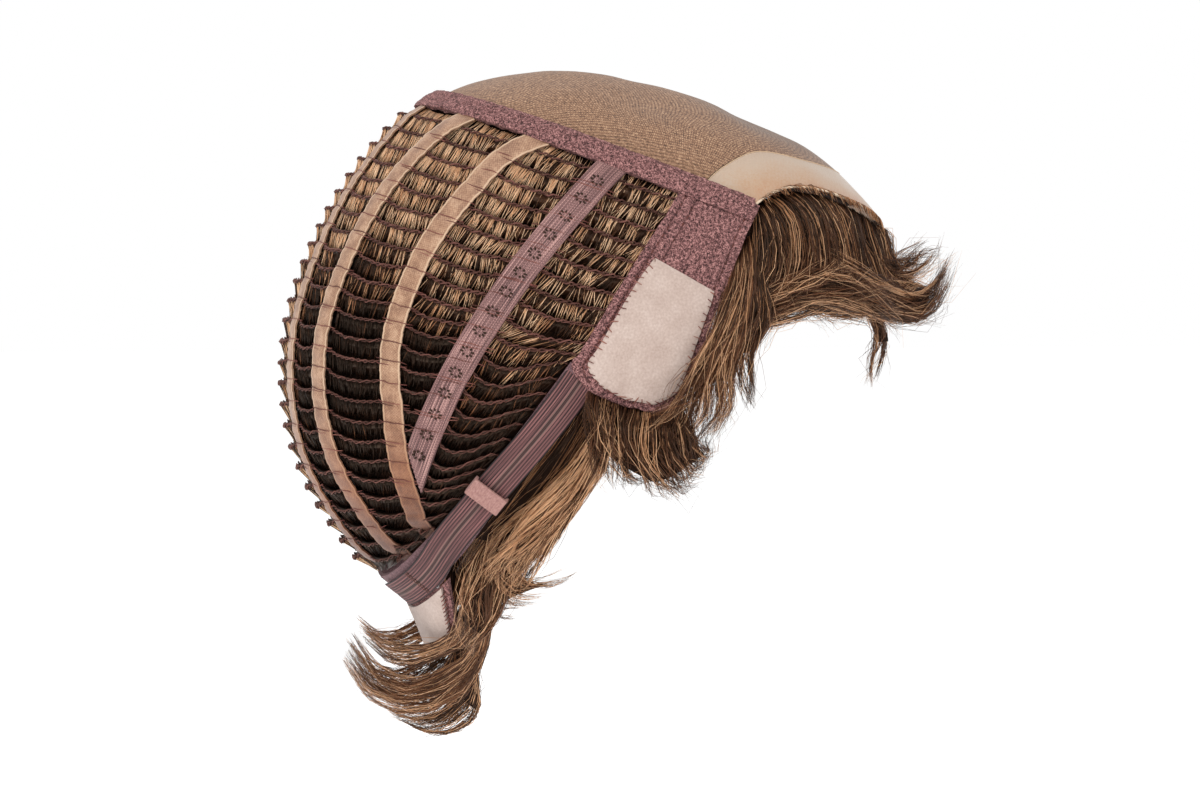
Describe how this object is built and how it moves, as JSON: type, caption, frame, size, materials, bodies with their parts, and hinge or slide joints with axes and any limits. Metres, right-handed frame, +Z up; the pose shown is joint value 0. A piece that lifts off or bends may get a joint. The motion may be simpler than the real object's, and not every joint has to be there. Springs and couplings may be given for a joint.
{
  "type": "lace front wig",
  "caption": "Short brown lace front wig turned inside out, showing its cap of net crown, weft rows on ribbons, plush ear tabs and elastic nape straps, with hair at the rim.",
  "frame": {"origin": "where the crown of a head seats, on the hair that lines the top of the hollow", "axes": "+Z up through the crown, -Y towards the face, +X to the left side of the cap"},
  "size_m": [0.1566, 0.2162, 0.2123],
  "materials": {
    "net": "fine tan-brown net, matt, with soft dents",
    "lace": "pale beige lace film with a faint satin sheen",
    "plush": "mauve plush with a short curled nap",
    "suede": "pale pinkish suede cloth, matt",
    "weft": "reddish-brown sewn thread over brown hair roots",
    "ribbon": "beige woven ribbon, slightly translucent",
    "elastic_lace": "mauve elastic lace with rings of eyelets",
    "strap": "mauve ribbed elastic",
    "hair": "mid-brown hair with tan strands, glossy"
  },
  "bodies": {
    "root": {"net_crown": "net", "lace_front": "lace", "crown_band": "plush", "ear_tab_right": "plush", "ear_tab_left": "plush", "nape_band": "plush", "nape_tab": "plush", "ear_patch_right": "suede", "ear_patch_left": "suede", "nape_patch": "suede", "weft_row_01": "weft", "weft_row_02": "weft", "weft_row_03": "weft", "weft_row_04": "weft", "weft_row_05": "weft", "weft_row_06": "weft", "weft_row_07": "weft", "weft_row_08": "weft", "weft_row_09": "weft", "weft_row_10": "weft", "weft_row_11": "weft", "weft_row_12": "weft", "weft_row_13": "weft", "weft_row_14": "weft", "weft_row_15": "weft", "weft_row_16": "weft", "weft_row_17": "weft", "weft_row_18": "weft", "weft_row_19": "weft", "weft_row_20": "weft", "weft_row_21": "weft", "weft_row_22": "weft", "weft_row_23": "weft", "weft_row_24": "weft", "weft_row_25": "weft", "ribbon_inner_right": "ribbon", "ribbon_inner_left": "ribbon", "ribbon_middle_right": "ribbon", "ribbon_middle_left": "ribbon", "ribbon_outer_right": "ribbon", "ribbon_outer_left": "ribbon", "elastic_lace_right": "elastic_lace", "elastic_lace_left": "elastic_lace", "strap_right": "strap", "strap_left": "strap", "strap_keeper_right": "strap", "strap_keeper_left": "strap", "hair_fringe": "hair", "hair_side_right": "hair", "hair_side_left": "hair", "hair_neck_right": "hair", "hair_neck_left": "hair", "hair_nape": "hair", "hair_lining": "hair"}
  },
  "joints": []
}
